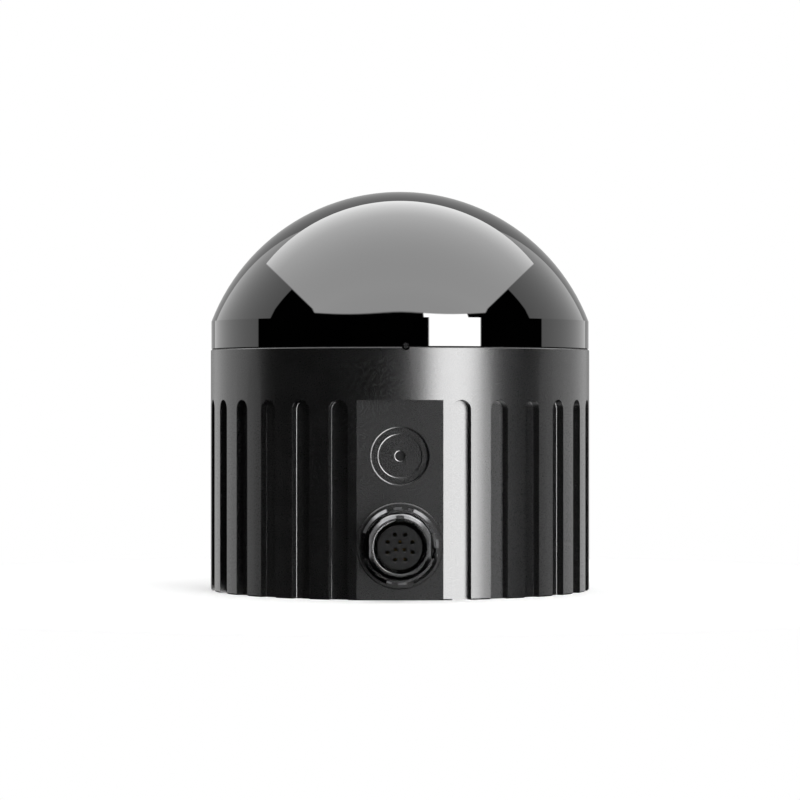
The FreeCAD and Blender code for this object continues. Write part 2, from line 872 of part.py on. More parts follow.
def board_blank(z0, with_boss_notches):
    """A round board, cut back at the front and clear of the base's screw bosses."""
    blank = d_shape(board_radius, board_front, z0, z0 + board_thickness)
    tools = [disc(screw_radius + 0.1, z0 - overcut, z0 + board_thickness + overcut, x, y)
             for x, y in board_places()]
    if with_boss_notches:
        tools += [disc(boss_radius + board_gap, z0 - overcut, z0 + board_thickness + overcut, x, y)
                  for x, y in base_screw_places()]
    return blank.cut(tools)


def link_block(inset, z0, z1):
    """One half of the plug and socket that join the two boards."""
    return block(-link_length / 2 + inset, link_length / 2 - inset,
                 link_y - link_width / 2 + inset, link_y + link_width / 2 - inset, z0, z1)


def main_board():
    """The upper board, with its plug below and its light receiver under the hollow shaft."""
    board = board_blank(main_board_z, False)
    receiver = disc(1.6, main_board_top, main_board_top + 1.0)
    plug = link_block(link_wall, link_seam_z - link_depth + 0.3, main_board_z)
    return joined([board, receiver, plug])


def power_board():
    """The lower board, with the socket for the upper one and the clamp for the flexible lead."""
    board = board_blank(power_board_z, True)
    socket = link_block(0, power_board_top, link_seam_z)
    well = link_block(link_wall - seat_gap, link_seam_z - link_depth, link_seam_z + overcut)
    lead_socket = block(-4.2, 4.2, -12.2, -10.0, power_board_top, power_board_top + 1.2)
    lead_slot = block(-3.7, 3.7, -13.0, -11.0, power_board_top, power_board_top + 0.32)
    return joined([board, socket, lead_socket.cut(lead_slot)]).cut(well)


def power_inductors():
    half = inductor_half
    made = []
    for x, y in ((-9, -4), (-9, 4), (9, -4)):
        coil = block(x - half, x + half, y - half, y + half,
                     power_board_top, power_board_top + half)
        upright = [edge for edge in coil.Edges if abs(edge.Vertexes[0].Z - edge.Vertexes[1].Z) > 1]
        made.append(coil.makeFillet(inductor_corner, upright))
    return group(made)


def board_chips():
    """The processor and its two memory chips, on top of the main board."""
    low = main_board_top
    near = chip_x - 1.0
    far = chip_x + chip_half
    return group([
        block(chip_x - chip_half, far, -chip_half, chip_half, low, low + chip_height),
        block(-far, -near, 0.6, 5.8, low, low + memory_height),
        block(-far, -near, -5.8, -0.6, low, low + memory_height),
    ])


def thermal_pad():
    """Carries the processor's heat up into the deck."""
    half = chip_half - pad_inset
    return block(chip_x - half, chip_x + half, -half, half, main_board_top + chip_height, deck_z)


def board_standoffs():
    """Hexagonal posts between the two boards, with a stud through the main board."""
    made = []
    corner = 2.2
    for x, y in board_places():
        outline = [polar(corner, 60 * i) for i in range(6)]
        body = prism(outline, main_board_z - power_board_top)
        body.translate(Vector(x, y, power_board_top))
        stud = disc(screw_radius, main_board_z, deck_z + stud_reach, x, y)
        hole = disc(screw_radius + thread_gap, power_board_top - overcut,
                    power_board_top + screw_length, x, y)
        made.append(joined([body, stud]).cut(hole))
    return group(made)


def board_screws():
    return group([screw(x, y, power_board_z, head_up=False) for x, y in board_places()])


# Motor hub and bearings

def motor_hub():
    """A flanged tube that carries both bearings and the stator."""
    body = joined([
        disc(hub_flange_radius, deck_top, deck_top + hub_flange_thickness),
        disc(hub_radius, deck_top, bearing_top + 0.2),
    ])
    tools = [
        disc(bearing_radius + seat_gap, bearing_z, bearing_top + overcut),
        disc(bearing_radius - 0.6, deck_top - overcut, bearing_z + overcut),
    ]
    for i in range(hub_screw_count):
        x, y = polar(hub_screw_circle, 360 / hub_screw_count * i)
        top = deck_top + hub_flange_thickness
        tools.append(disc(screw_radius + 0.1, deck_top - overcut, top + overcut, x, y))
        sink = screw_head_radius - screw_radius
        tools.append(Part.makeCone(screw_radius + 0.1, screw_head_radius + 0.1, sink,
                                   Vector(x, y, top - sink)))
    return body.cut(tools)


def hub_screws():
    """Countersunk screws that hold the hub to the deck."""
    made = []
    top = deck_top + hub_flange_thickness
    sink = screw_head_radius - screw_radius
    for i in range(hub_screw_count):
        x, y = polar(hub_screw_circle, 360 / hub_screw_count * i)
        head = Part.makeCone(screw_radius, screw_head_radius, sink, Vector(x, y, top - sink))
        shank = disc(screw_radius, deck_z + 0.2, top - sink, x, y)
        socket = disc(screw_socket_radius, top - 0.5, top + overcut, x, y)
        made.append(joined([head, shank]).cut(socket))
    return group(made)


def pitch_radius():
    return (shaft_radius + bearing_radius) / 2


def bearing_levels():
    return [bearing_z, upper_bearing_z]


def bearing_outer_rings():
    made = []
    for z in bearing_levels():
        blank = ring(bearing_radius, pitch_radius() + ring_gap / 2, z, z + bearing_width)
        made.append(blank.cut(torus(pitch_radius(), ball_radius + race_gap, z + bearing_width / 2)))
    return group(made)


def bearing_inner_rings():
    made = []
    for z in bearing_levels():
        blank = ring(pitch_radius() - ring_gap / 2, shaft_radius + thread_gap, z, z + bearing_width)
        made.append(blank.cut(torus(pitch_radius(), ball_radius + race_gap, z + bearing_width / 2)))
    return group(made)


def bearing_spacer():
    return ring(bearing_radius, bearing_radius - 0.6, bearing_z + bearing_width, upper_bearing_z)


def ball_places():
    return [polar(pitch_radius(), 360 / ball_count * (i + 0.5)) for i in range(ball_count)]


def bearing_cage(z):
    middle = z + bearing_width / 2
    blank = ring(pitch_radius() + cage_thickness / 2, pitch_radius() - cage_thickness / 2,
                 middle - cage_height / 2, middle + cage_height / 2)
    pockets = [Part.makeCylinder(ball_radius + race_gap, 1.5 * pitch_radius(),
                                 Vector(0, 0, middle), Vector(x, y, 0))
               for x, y in ball_places()]
    return blank.cut(pockets)


def bearing_balls(z):
    middle = z + bearing_width / 2
    return group([Part.makeSphere(ball_radius, Vector(x, y, middle)) for x, y in ball_places()])


def shaft():
    """Hollow, so that light can carry the head's data down to the main board."""
    bottom = bearing_z - clip_thickness - 0.6
    body = ring(shaft_radius, shaft_bore_radius, bottom, rotor_top + 1.0)
    groove = ring(shaft_radius + overcut, shaft_radius - 0.4, bearing_z - clip_thickness - 0.02,
                  bearing_z)
    return body.cut(groove)


def shaft_clip():
    """An open spring clip in the shaft's groove, below the lower bearing."""
    clip = ring(shaft_radius + 0.85, shaft_radius - 0.38, bearing_z - clip_thickness, bearing_z)
    opening = block(0, shaft_radius + 2, -1.3, 1.3, bearing_z - 2, bearing_z + 1)
    return clip.cut(opening)


# Motor

def stator_core():
    """A nine-slot stack of laminations, teeth outwards."""
    z0 = stator_mid_z - stator_height / 2
    z1 = stator_mid_z + stator_height / 2
    back = ring(stator_tooth_root, hub_radius + seat_gap, z0, z1)
    step = 360 / motor_slots
    shoe = ring(stator_radius, stator_tooth_tip - 0.1, z0, z1)
    wedge_angle = step * 0.8
    parts = [back]
    for i in range(motor_slots):
        tooth = block(stator_tooth_root - 0.3, stator_tooth_tip, -stator_tooth_width / 2,
                      stator_tooth_width / 2, z0, z1)
        sector = Part.makeCylinder(stator_radius + 1, z1 - z0, Vector(0, 0, z0), Z_AXIS,
                                   wedge_angle)
        sector.rotate(CENTRE, Z_AXIS, -wedge_angle / 2)
        parts.append(spun(tooth, step * i))
        parts.append(spun(shoe.common(sector), step * i))
    return joined(parts)


def stator_windings():
    """One copper coil round each tooth."""
    gap = 0.1
    half_tooth = stator_tooth_width / 2 + gap
    half_height = stator_height / 2 + gap
    x0 = stator_tooth_root + 0.25
    x1 = math.sqrt((stator_tooth_tip - 0.1) ** 2 - (half_tooth + coil_build) ** 2) - gap
    outer = block(x0, x1, -half_tooth - coil_build, half_tooth + coil_build,
                  stator_mid_z - half_height - 0.8, stator_mid_z + half_height + 0.8)
    along_x = [edge for edge in outer.Edges if abs(edge.Vertexes[0].X - edge.Vertexes[1].X) > 0.5]
    outer = outer.makeFillet(0.6, along_x)
    inner = block(x0 - 1, x1 + 1, -half_tooth, half_tooth, stator_mid_z - half_height,
                  stator_mid_z + half_height)
    coil = outer.cut(inner)
    return group([spun(coil, 360 / motor_slots * i) for i in range(motor_slots)])


def rotor_magnets():
    """Arc magnets bonded inside the yoke."""
    step = 360 / motor_poles
    z0 = stator_mid_z - stator_height / 2 - 0.3
    z1 = stator_mid_z + stator_height / 2 + 0.3
    blank = ring(yoke_inner - thread_gap, magnet_inner, z0, z1)
    width = step - 2
    sector = Part.makeCylinder(yoke_radius, z1 - z0, Vector(0, 0, z0), Z_AXIS, width)
    magnet = blank.common(sector)
    return group([spun(magnet, step * i) for i in range(motor_poles)])


def rotor_yoke():
    """The motor's steel bell, with the flange that carries the upper power coil."""
    skirt_z = primary_coil_z + coil_thickness - 0.6
    parts = [
        ring(yoke_radius, yoke_inner, skirt_z, rotor_z),
        disc(yoke_radius, yoke_plate_z, rotor_z),
        disc(shaft_radius + 0.8, bearing_top, rotor_z),
        ring(yoke_radius + yoke_flange, yoke_inner + 0.3, secondary_ferrite_top,
             secondary_ferrite_top + 0.8),
    ]
    holes = [disc(shaft_radius + thread_gap, bearing_top - overcut, rotor_z + overcut)]
    holes += [disc(screw_radius + thread_gap, yoke_plate_z - overcut, rotor_z + overcut, x, y)
              for x, y in rotor_screw_places()]
    return joined(parts).cut(holes)


# Wireless power coils

def power_ferrite(inner, z):
    return ring(ferrite_outer, inner, z, z + ferrite_thickness)


def power_coil(z):
    return ring(ferrite_outer - coil_margin, ferrite_inner + coil_margin / 2, z, z + coil_thickness)


# Encoder

def encoder_inner():
    return rotor_radius - encoder_width - 1.0


def encoder_disc():
    """The slotted ring under the head that tells its angle."""
    outer = rotor_radius - 1.0
    z0 = rotor_z - encoder_thickness
    blank = ring(outer, encoder_inner(), z0, rotor_z)
    slot_length = encoder_width - 1.6
    slot = block(encoder_inner() + 0.8, encoder_inner() + 0.8 + slot_length, -0.8, 0.8,
                 z0 - overcut, rotor_z + overcut)
    return blank.cut([spun(slot, 360 / encoder_slots * i) for i in range(encoder_slots)])


def encoder_board():
    """A narrow upright board on the deck, with the reading head on its top edge."""
    back = upper_radius - 1.3
    sensor_top = rotor_z - encoder_thickness - 1.0
    sensor_z = sensor_top - 0.8
    board = block(-4, 4, back - 1.0, back, deck_top, sensor_z)
    sensor = block(-2, 2, encoder_inner() + 1.0, back, sensor_z, sensor_top)
    return joined([board, sensor])


# Spinning head

def rotor_screw_places():
    circle = yoke_radius * 0.58
    return [polar(circle, 90 + 120 * i) for i in range(3)]


def rotor_board_places():
    circle = rotor_radius - rotor_post_inset
    x = rotor_strip - post_radius - 1.0
    y = -math.sqrt(circle**2 - x**2)
    return [(0, circle), (-x, y), (x, y)]


def foot_places():
    x = head_half_width + cheek_thickness + foot_width / 2 + 0.1
    y = cheek_half_length * 0.56
    return [(sx * x, sy * y) for sx in (-1, 1) for sy in (-1, 1)]


def rotor_base():
    """The turntable that the head's pieces are bolted to."""
    boss_radius_here = shaft_radius + rotor_boss_wall
    parts = [
        disc(rotor_radius, rotor_z, rotor_top),
        disc(boss_radius_here, rotor_z, rotor_top + rotor_boss_height),
    ]
    parts += [disc(post_radius, rotor_z, rotor_board_z, x, y) for x, y in rotor_board_places()]
    tools = [disc(shaft_radius + thread_gap, rotor_z - overcut, rotor_top + 3)]
    depth = 1.3
    for x, y in rotor_screw_places():
        tools.append(disc(screw_radius + 0.1, rotor_z - overcut, rotor_top + overcut, x, y))
        tools.append(disc(screw_head_radius + 0.15, rotor_top - depth, rotor_top + overcut, x, y))
    for x, y in rotor_board_places():
        tools.append(disc(screw_radius + thread_gap, rotor_z + 0.4, rotor_board_z + overcut, x, y))
    for x, y in foot_places():
        tools.append(disc(screw_radius + thread_gap, rotor_z + 0.2, rotor_top + overcut, x, y))
    return joined(parts).cut(tools)


def rotor_screws():
    """The head's screws: into the yoke, through the board and through the frame's feet."""
    depth = 1.3
    short = 2.6
    made = [screw(x, y, rotor_top - depth, length=1.4) for x, y in rotor_screw_places()]
    made += [screw(x, y, rotor_board_z + rotor_board_thickness, length=short)
             for x, y in rotor_board_places()]
    made += [screw(x, y, rotor_top + 1.6, length=short) for x, y in foot_places()]
    return group(made)


def balance_weight():
    blank = ring(rotor_radius - 1.0, rotor_radius - 6.5, rotor_top, rotor_top + weight_height)
    width = 30
    sector = Part.makeCylinder(rotor_radius + 1, 20, Vector(0, 0, rotor_top - 1), Z_AXIS, width)
    sector.rotate(CENTRE, Z_AXIS, 270 - width / 2)
    return blank.common(sector)


def rotor_board():
    """The head's own board, with its light emitter over the hollow shaft."""
    z1 = rotor_board_z + rotor_board_thickness
    blank = disc(rotor_radius - rotor_board_inset, rotor_board_z, z1)
    strip = block(-rotor_strip, rotor_strip, -rotor_radius, rotor_radius, rotor_board_z, z1)
    emitter = disc(1.0, rotor_board_z - 0.7, rotor_board_z)
    holes = [disc(screw_radius + 0.1, rotor_board_z - overcut, z1 + overcut, x, y)
             for x, y in rotor_board_places()]
    edge = rotor_radius - rotor_post_inset - rotor_chip_inset
    chip_top = z1 + rotor_chip_height
    chips = [block(-6, 2, edge - 5.5, edge, z1, chip_top),
             block(-4, 4, -edge, -edge + 5.0, z1, chip_top)]
    return joined([blank.common(strip), emitter] + chips).cut(holes)


def optics_frame():
    """Two cheeks on feet, bolted to the turntable, with the optics block between them."""
    outer = head_half_width + cheek_thickness
    parts = []
    for side in (-1, 1):
        x0, x1 = sorted((side * head_half_width, side * outer))
        lower = block(x0, x1, -cheek_half_length, cheek_half_length, rotor_top, head_z - 2)
        crown = Part.makeCylinder(cheek_half_length, cheek_thickness, Vector(x0, 0, head_z - 2),
                                  Vector(1, 0, 0))
        foot_x0, foot_x1 = sorted((side * outer, side * (outer + foot_width)))
        foot = block(foot_x0, foot_x1, -cheek_half_length + 1, cheek_half_length - 1,
                     rotor_top, rotor_top + 1.6)
        cheek = joined([lower, crown, foot])
        window = Part.makeCylinder(2.6, cheek_thickness + 2, Vector(x0 - 1, 0, rotor_top + 5.4),
                                   Vector(1, 0, 0))
        parts.append(cheek.cut(window))
    holes = [disc(screw_radius + 0.1, rotor_top - overcut, rotor_top + 3, x, y)
             for x, y in foot_places()]
    holes += [in_head(tool) for tool in optics_screw_holes(screw_radius + 0.1, cheek_thickness + 0.5)]
    return group([part.cut(holes) for part in parts])


def optics_block():
    """The casting that holds both lens barrels side by side, on their common tilt."""
    body = block(-head_half_width, head_half_width, -head_half_height, head_half_height,
                 -head_half_depth, head_half_depth)
    edges = [edge for edge in body.Edges if abs(edge.Vertexes[0].X - edge.Vertexes[1].X) > 1]
    body = body.makeFillet(1.5, edges)
    bores = [
        disc(receiver_radius + seat_gap, -head_half_depth + barrel_seat,
             head_half_depth + overcut, barrel_offset),
        disc(receiver_radius - barrel_wall, -head_half_depth - overcut, head_half_depth,
             barrel_offset),
        disc(emitter_radius + seat_gap, -head_half_depth + barrel_seat,
             head_half_depth + overcut, -barrel_offset),
        disc(emitter_radius - barrel_wall, -head_half_depth - overcut, head_half_depth,
             -barrel_offset),
    ]
    fixings = optics_screw_holes(screw_radius + thread_gap, optics_screw_length + 0.3)
    return in_head(body.cut(bores + fixings))


def lens_barrel(radius, x):
    """A turned barrel with a stepped bore and a raised front lip."""
    bottom = -head_half_depth + barrel_seat
    top = head_half_depth + barrel_reach
    body = disc(radius, bottom, top, x)
    bore = radius - barrel_wall
    tools = [
        disc(bore, bottom + 4.0, top + overcut, x),
        disc(bore - 0.8, bottom - overcut, bottom + 5.0, x),
        ring(radius + overcut, radius - 0.3, top - 1.6, top - 0.9, x),
    ]
    return in_head(body.cut(tools))


def lens(radius, x, z, thickness, bulge):
    """A lens with a domed front and a flat back."""
    sphere_radius = (radius**2 + bulge**2) / (2 * bulge)
    ball = Part.makeSphere(sphere_radius, Vector(x, 0, z + thickness - sphere_radius))
    return disc(radius, z, z + thickness, x).common(ball)


def lens_pair(radius, x):
    bore = radius - barrel_wall - thread_gap
    seat = -head_half_depth + barrel_seat + 4.0
    front = head_half_depth + barrel_reach - 3.4
    rear_lens = lens(bore, x, seat, 2.2, 0.9)
    front_lens = lens(bore, x, front, 2.8, 1.3)
    return group([in_head(rear_lens), in_head(front_lens)])


def head_board(x, chip):
    """A board across the back of one barrel, with its sensing or lighting chip."""
    z1 = -head_half_depth
    across = barrel_offset - optics_board_gap
    up = head_half_height - 0.5
    board = block(x - across, x + across, -up, up, z1 - 1.0, z1)
    die = block(x - chip, x + chip, -chip, chip, z1, z1 + 0.8)
    return in_head(joined([board, die]))


def optics_screws():
    """Screws through each cheek into the ends of the optics block."""
    made = []
    for side in (-1, 1):
        for across in (-1, 1):
            fixing = screw(0, 0, 0, length=optics_screw_length)
            fixing.rotate(CENTRE, Vector(0, 1, 0), side * 90)
            x = side * (head_half_width + cheek_thickness)
            fixing.translate(Vector(x, across * optics_screw_spread, 0))
            made.append(in_head(fixing))
    return group(made)


def optics_screw_holes(radius, reach):
    """Cutters for those screws, in the head's own frame."""
    tools = []
    for side in (-1, 1):
        for across in (-1, 1):
            start = side * (head_half_width + cheek_thickness + overcut)
            tools.append(Part.makeCylinder(radius, reach + overcut,
                                           Vector(start, across * optics_screw_spread, 0),
                                           Vector(-side, 0, 0)))
    return tools


def optics_baffle():
    """The fin between the two lenses, cut to run close inside the dome."""
    half = baffle_thickness / 2
    reach = dome_inner - rotor_gap
    across = head_half_height + baffle_overhang
    plate = block(-half, half, -across, across, head_half_depth, 2 * reach)
    limit = Part.makeSphere(reach, Vector(0, 0, dome_z))
    level = block(-half - 1, half + 1, -2 * reach, 2 * reach, rotor_board_z + 4, 4 * reach)
    return in_head(plate).common(limit).common(level)


def optics_flexes():
    """Flexible leads from the head's board up the backs of the two optical boards."""
    lift = flex_thickness / 2 + flex_gap
    lie_z = rotor_board_z + rotor_board_thickness + lift
    off = head_half_depth + 1.0 + lift
    lean = math.radians(head_tilt)
    mid_y = -off * math.cos(lean)
    mid_z = head_z - off * math.sin(lean)
    run = (mid_z - lie_z) / math.cos(lean)
    corner = (mid_y + run * math.sin(lean), lie_z)
    path = [(corner[0] + 5.0, lie_z), corner, (mid_y, mid_z)]
    made = []
    for side in (-1, 1):
        lead = ribbon(path, 2.0, 6.0, flex_thickness)
        lead.translate(Vector(side * barrel_offset, 0, 0))
        made.append(lead)
    return group(made)


NODES = {
    "housing": housing,
    "dome": dome,
    "dome_seal": dome_seal,
    "dome_index_pin": index_pin,
    "base_plate": base_plate,
    "base_gasket": base_gasket,
    "base_screws": base_screws,
    "receptacle_shell": receptacle_shell,
    "receptacle_insulator": receptacle_insulator,
    "receptacle_contacts": receptacle_contacts,
    "receptacle_seal": receptacle_seal,
    "receptacle_washer": receptacle_washer,
    "receptacle_nut": receptacle_nut,
    "receptacle_board": receptacle_board,
    "receptacle_flex": receptacle_flex,
    "vent_cap": vent_cap,
    "vent_membrane": vent_membrane,
    "power_board": power_board,
    "power_inductors": power_inductors,
    "main_board": main_board,
    "board_chips": board_chips,
    "thermal_pad": thermal_pad,
    "board_standoffs": board_standoffs,
    "board_screws": board_screws,
    "motor_hub": motor_hub,
    "hub_screws": hub_screws,
    "bearing_outer_rings": bearing_outer_rings,
    "bearing_inner_rings": bearing_inner_rings,
    "bearing_spacer": bearing_spacer,
    "lower_bearing_cage": lambda: bearing_cage(bearing_z),
    "lower_bearing_balls": lambda: bearing_balls(bearing_z),
    "upper_bearing_cage": lambda: bearing_cage(upper_bearing_z),
    "upper_bearing_balls": lambda: bearing_balls(upper_bearing_z),
    "shaft": shaft,
    "shaft_clip": shaft_clip,
    "stator_core": stator_core,
    "stator_windings": stator_windings,
    "rotor_magnets": rotor_magnets,
    "rotor_yoke": rotor_yoke,
    "primary_ferrite": lambda: power_ferrite(ferrite_inner, deck_top),
    "primary_coil": lambda: power_coil(primary_coil_z),
    "secondary_ferrite": lambda: power_ferrite(yoke_radius + seat_gap, secondary_ferrite_z),
    "secondary_coil": lambda: power_coil(secondary_coil_z),
    "encoder_disc": encoder_disc,
    "encoder_board": encoder_board,
    "rotor_base": rotor_base,
    "rotor_screws": rotor_screws,
    "balance_weight": balance_weight,
    "rotor_board": rotor_board,
    "optics_frame": optics_frame,
    "optics_block": optics_block,
    "receiver_barrel": lambda: lens_barrel(receiver_radius, barrel_offset),
    "emitter_barrel": lambda: lens_barrel(emitter_radius, -barrel_offset),
    "receiver_lenses": lambda: lens_pair(receiver_radius, barrel_offset),
    "emitter_lenses": lambda: lens_pair(emitter_radius, -barrel_offset),
    "receiver_board": lambda: head_board(barrel_offset, 2.4),
    "emitter_board": lambda: head_board(-barrel_offset, 1.8),
    "optics_screws": optics_screws,
    "optics_baffle": optics_baffle,
    "optics_flexes": optics_flexes,
}


def main():
    os.makedirs("parts", exist_ok=True)
    for name, make in NODES.items():
        shape = make()
        if not shape.isValid() or not shape.Solids:
            raise ValueError(f"{name} is not a valid solid")
        shape.exportStep(os.path.join("parts", f"{name}.step"))


main()
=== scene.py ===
import json
import math

import bmesh
import bpy
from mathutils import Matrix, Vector


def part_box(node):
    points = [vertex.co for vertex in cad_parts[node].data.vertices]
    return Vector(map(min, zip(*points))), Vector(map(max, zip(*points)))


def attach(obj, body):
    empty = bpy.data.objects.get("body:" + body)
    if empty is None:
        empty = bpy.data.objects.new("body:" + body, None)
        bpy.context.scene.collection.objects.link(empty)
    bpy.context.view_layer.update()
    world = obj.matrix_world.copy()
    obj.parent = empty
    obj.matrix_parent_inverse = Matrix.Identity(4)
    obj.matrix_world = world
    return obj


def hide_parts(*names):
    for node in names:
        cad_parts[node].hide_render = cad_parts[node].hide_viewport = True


# Compact dome-topped scanning range sensor: its finishes, its threaded receptacle, a small
# studio and the camera. Metres, +Z up, the receptacle towards -Y.

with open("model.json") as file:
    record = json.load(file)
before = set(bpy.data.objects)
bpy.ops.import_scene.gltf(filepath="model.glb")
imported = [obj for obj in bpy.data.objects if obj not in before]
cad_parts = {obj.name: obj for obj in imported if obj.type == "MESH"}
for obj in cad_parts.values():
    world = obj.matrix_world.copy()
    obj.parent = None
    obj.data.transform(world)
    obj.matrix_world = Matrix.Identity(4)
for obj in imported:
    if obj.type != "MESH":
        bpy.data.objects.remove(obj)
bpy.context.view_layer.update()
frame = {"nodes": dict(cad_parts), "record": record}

MM = 0.001
MICRON = 0.000001

# Camera, fitted to the photograph: level, straight at the front
CAMERA_DISTANCE = 510 * MM
CAMERA_HEIGHT = 30 * MM
CAMERA_LENS = 144.5
SENSOR_WIDTH = 36.0

# Studio, as directions seen from the object: azimuth 0 is towards the camera and grows to the
# right, in degrees
KEY_AZIMUTH = (17.2, 49.2)
KEY_ELEVATION = (-60.0, 52.0)
KEY_RADIANCE = 26.0
SIDE_AZIMUTH = (95.0, 155.0)
SIDE_ELEVATION = (-20.0, 60.0)
SIDE_RADIANCE = 1.36
BACKDROP_AZIMUTH = (155.0, 200.0)
BACKDROP_ELEVATION = (-12.0, 39.0)
BACKDROP_RADIANCE = 0.55
# The overhead softbox, given by its half width and its front and back edges over its height
# above the object. Its front edge bows out in the middle, where it is also brightest.
TOP_HALF_WIDTH = 1.03
TOP_FRONT = -0.918
TOP_FRONT_BOW = 0.367
TOP_FRONT_POWER = 2.5
TOP_BACK = 1.28
TOP_FADE = (-0.5, 0.6)
TOP_FRONT_RADIANCE = 6.2
TOP_BACK_RADIANCE = 4.1
TOP_SOFTNESS = 0.012
EDGE_SOFTNESS = 0.6
CORNER_RADIUS = 3.5
ROOM_RADIANCE = 0.0005
AMBIENT = 0.35

# Two soft lamps for the matt side of things
OVERHEAD_PLACE = (0, 0.4, 1.0)
OVERHEAD_TARGET = (0, 0.4, 0)
OVERHEAD_SIZE = (2.06, 2.05)
OVERHEAD_RADIANCE = 0.9
KEY_LAMP_PLACE = (0.55, -0.82, 0.35)
KEY_LAMP_TARGET = (0, 0, 0.03)
KEY_LAMP_SIZE = (0.6, 0.9)
KEY_LAMP_RADIANCE = 1.6

# Floor: a pale round table
FLOOR_RADIUS = 100 * MM
FLOOR_SIDES = 96
FLOOR_LIFT = 0.3

# Threaded shell of the receptacle: radii from its axis, and distances out from the flat panel
SHELL_REACH = 5.3 * MM
SHELL_RADIUS = 4.89 * MM
SHELL_FLAT = 4.58 * MM
SHELL_BORE = 3.96 * MM
LIP_ROUND = 0.06 * MM
LIP_ROUND_STEPS = 6
LIP_LAND = 0.35 * MM
LIP_SLOPE = 50.0
THREAD_PITCH = 0.5 * MM
THREAD_DEPTH = 0.27 * MM
THREAD_CREST = 0.15
THREAD_FLANK = 0.65
THREAD_STEPS = 10
EDGE_BREAK = 0.03 * MM
FLANGE_RADIUS = 6.1 * MM
FLANGE_FRONT = -2.4 * MM
FLANGE_BACK = -4.4 * MM
SEAL_RADIUS = 5.525 * MM
SEAL_HALF = 0.37 * MM
SEAL_DEPTH = 0.7 * MM
TAIL_RADIUS = 4.2 * MM
TAIL_BACK = -6.4 * MM
TAIL_BORE = 3.65 * MM
BORE_BACK = -1.0 * MM
KEYWAY_HALF = 0.725 * MM
KEYWAY_RADIUS = 4.28 * MM
MARK_HALF = 0.575 * MM
MARK_RADII = (4.4 * MM, 4.76 * MM)

# Its nut, with four spanner slots
NUT_RADIUS = 5.93 * MM
NUT_BORE = 4.97 * MM
NUT_BACK = 0.85 * MM
NUT_REACH = 2.0 * MM
NUT_BORE_CHAMFER = 0.1 * MM
NUT_CONE = 0.47 * MM
NUT_SLOPE = 47.0
NUT_SLOT_HALF = 1.93 * MM

# Mesh of both: columns round the axis, half the angle across an edge between two columns, and
# the angle between faces from which an edge is sharp
COLUMNS = 240
EDGE_HALF_ANGLE = 0.0008
SHARP_ANGLE = 20.0


# Node helpers

def feed(tree, socket, value):
    """Links a socket to its source, or sets its plain value."""
    if isinstance(value, bpy.types.NodeSocket):
        tree.links.new(value, socket)
    else:
        socket.default_value = value


def calc(tree, operation, *values):
    node = tree.nodes.new("ShaderNodeMath")
    node.operation = operation
    for socket, value in zip(node.inputs, values):
        feed(tree, socket, value)
    return node.outputs[0]


def rescale(tree, value, low, high, out_low, out_high, smooth=False):
    node = tree.nodes.new("ShaderNodeMapRange")
    if smooth:
        node.interpolation_type = "SMOOTHSTEP"
    for name, number in (("From Min", low), ("From Max", high), ("To Min", out_low),
                         ("To Max", out_high)):
        node.inputs[name].default_value = number
    feed(tree, node.inputs["Value"], value)
    return node.outputs["Result"]


def between(tree, value, low, high, softness):
    """One inside the range and zero outside it, with soft edges."""
    rise = rescale(tree, value, low - softness, low + softness, 0, 1, smooth=True)
    fall = rescale(tree, value, high - softness, high + softness, 1, 0, smooth=True)
    return calc(tree, "MULTIPLY", rise, fall)


def blend_colours(tree, factor, dark, light):
    node = tree.nodes.new("ShaderNodeMix")
    node.data_type = "RGBA"
    feed(tree, node.inputs[0], factor)
    node.inputs[6].default_value = (*dark, 1)
    node.inputs[7].default_value = (*light, 1)
    return node.outputs[2]


def place(tree, offset=(0, 0, 0)):
    """The position on the piece, in its own space."""
    coordinates = tree.nodes.new("ShaderNodeTexCoord")
    mapping = tree.nodes.new("ShaderNodeMapping")
    mapping.inputs["Location"].default_value = offset
    tree.links.new(coordinates.outputs["Object"], mapping.inputs["Vector"])
    return mapping.outputs["Vector"]


def noise(tree, size, detail=2.0):
    """Soft random patches of a real size."""
    node = tree.nodes.new("ShaderNodeTexNoise")
    node.inputs["Scale"].default_value = 1 / size
    node.inputs["Detail"].default_value = detail
    tree.links.new(place(tree), node.inputs["Vector"])
    return node.outputs["Fac"]


def bands(tree, pitch, direction, rings=False, offset=(0, 0, 0)):
    """Parallel lines or rings of a real pitch."""
    node = tree.nodes.new("ShaderNodeTexWave")
    if rings:
        node.wave_type = "RINGS"
        node.rings_direction = direction
    else:
        node.bands_direction = direction
    node.inputs["Scale"].default_value = math.pi / 10 / pitch
    tree.links.new(place(tree, offset), node.inputs["Vector"])
    return node.outputs["Fac"]


def raise_surface(tree, shader, height, depth):
    """Bump of a real depth. A second call takes the place of the first."""
    node = tree.nodes.new("ShaderNodeBump")
    node.inputs["Distance"].default_value = depth
    feed(tree, node.inputs["Height"], height)
    tree.links.new(node.outputs["Normal"], shader.inputs["Normal"])


# Finishes

def new_finish(name, **plain):
    """A fresh material, with the values that are the same all over set on its shader."""
    material = bpy.data.materials.new(name)
    material.use_nodes = True
    shader = material.node_tree.nodes["Principled BSDF"]
    for key, value in plain.items():
        shader.inputs[key.replace("_", " ")].default_value = value
    return material, material.node_tree, shader


def mottled(name, dark, light, rough, patch, grain, depth, **plain):
    """The base of most finishes: colour in soft patches, roughness and bump from a fine grain."""
    material, tree, shader = new_finish(name, **plain)
    patches = rescale(tree, noise(tree, patch), 0.3, 0.7, 0, 1)
    tree.links.new(blend_colours(tree, patches, dark, light), shader.inputs["Base Color"])
    fine = noise(tree, grain, detail=3)
    tree.links.new(rescale(tree, fine, 0.25, 0.75, *rough), shader.inputs["Roughness"])
    raise_surface(tree, shader, fine, depth)
    return material, tree, shader


def grey(value):
    return (value, value, value * 1.02)


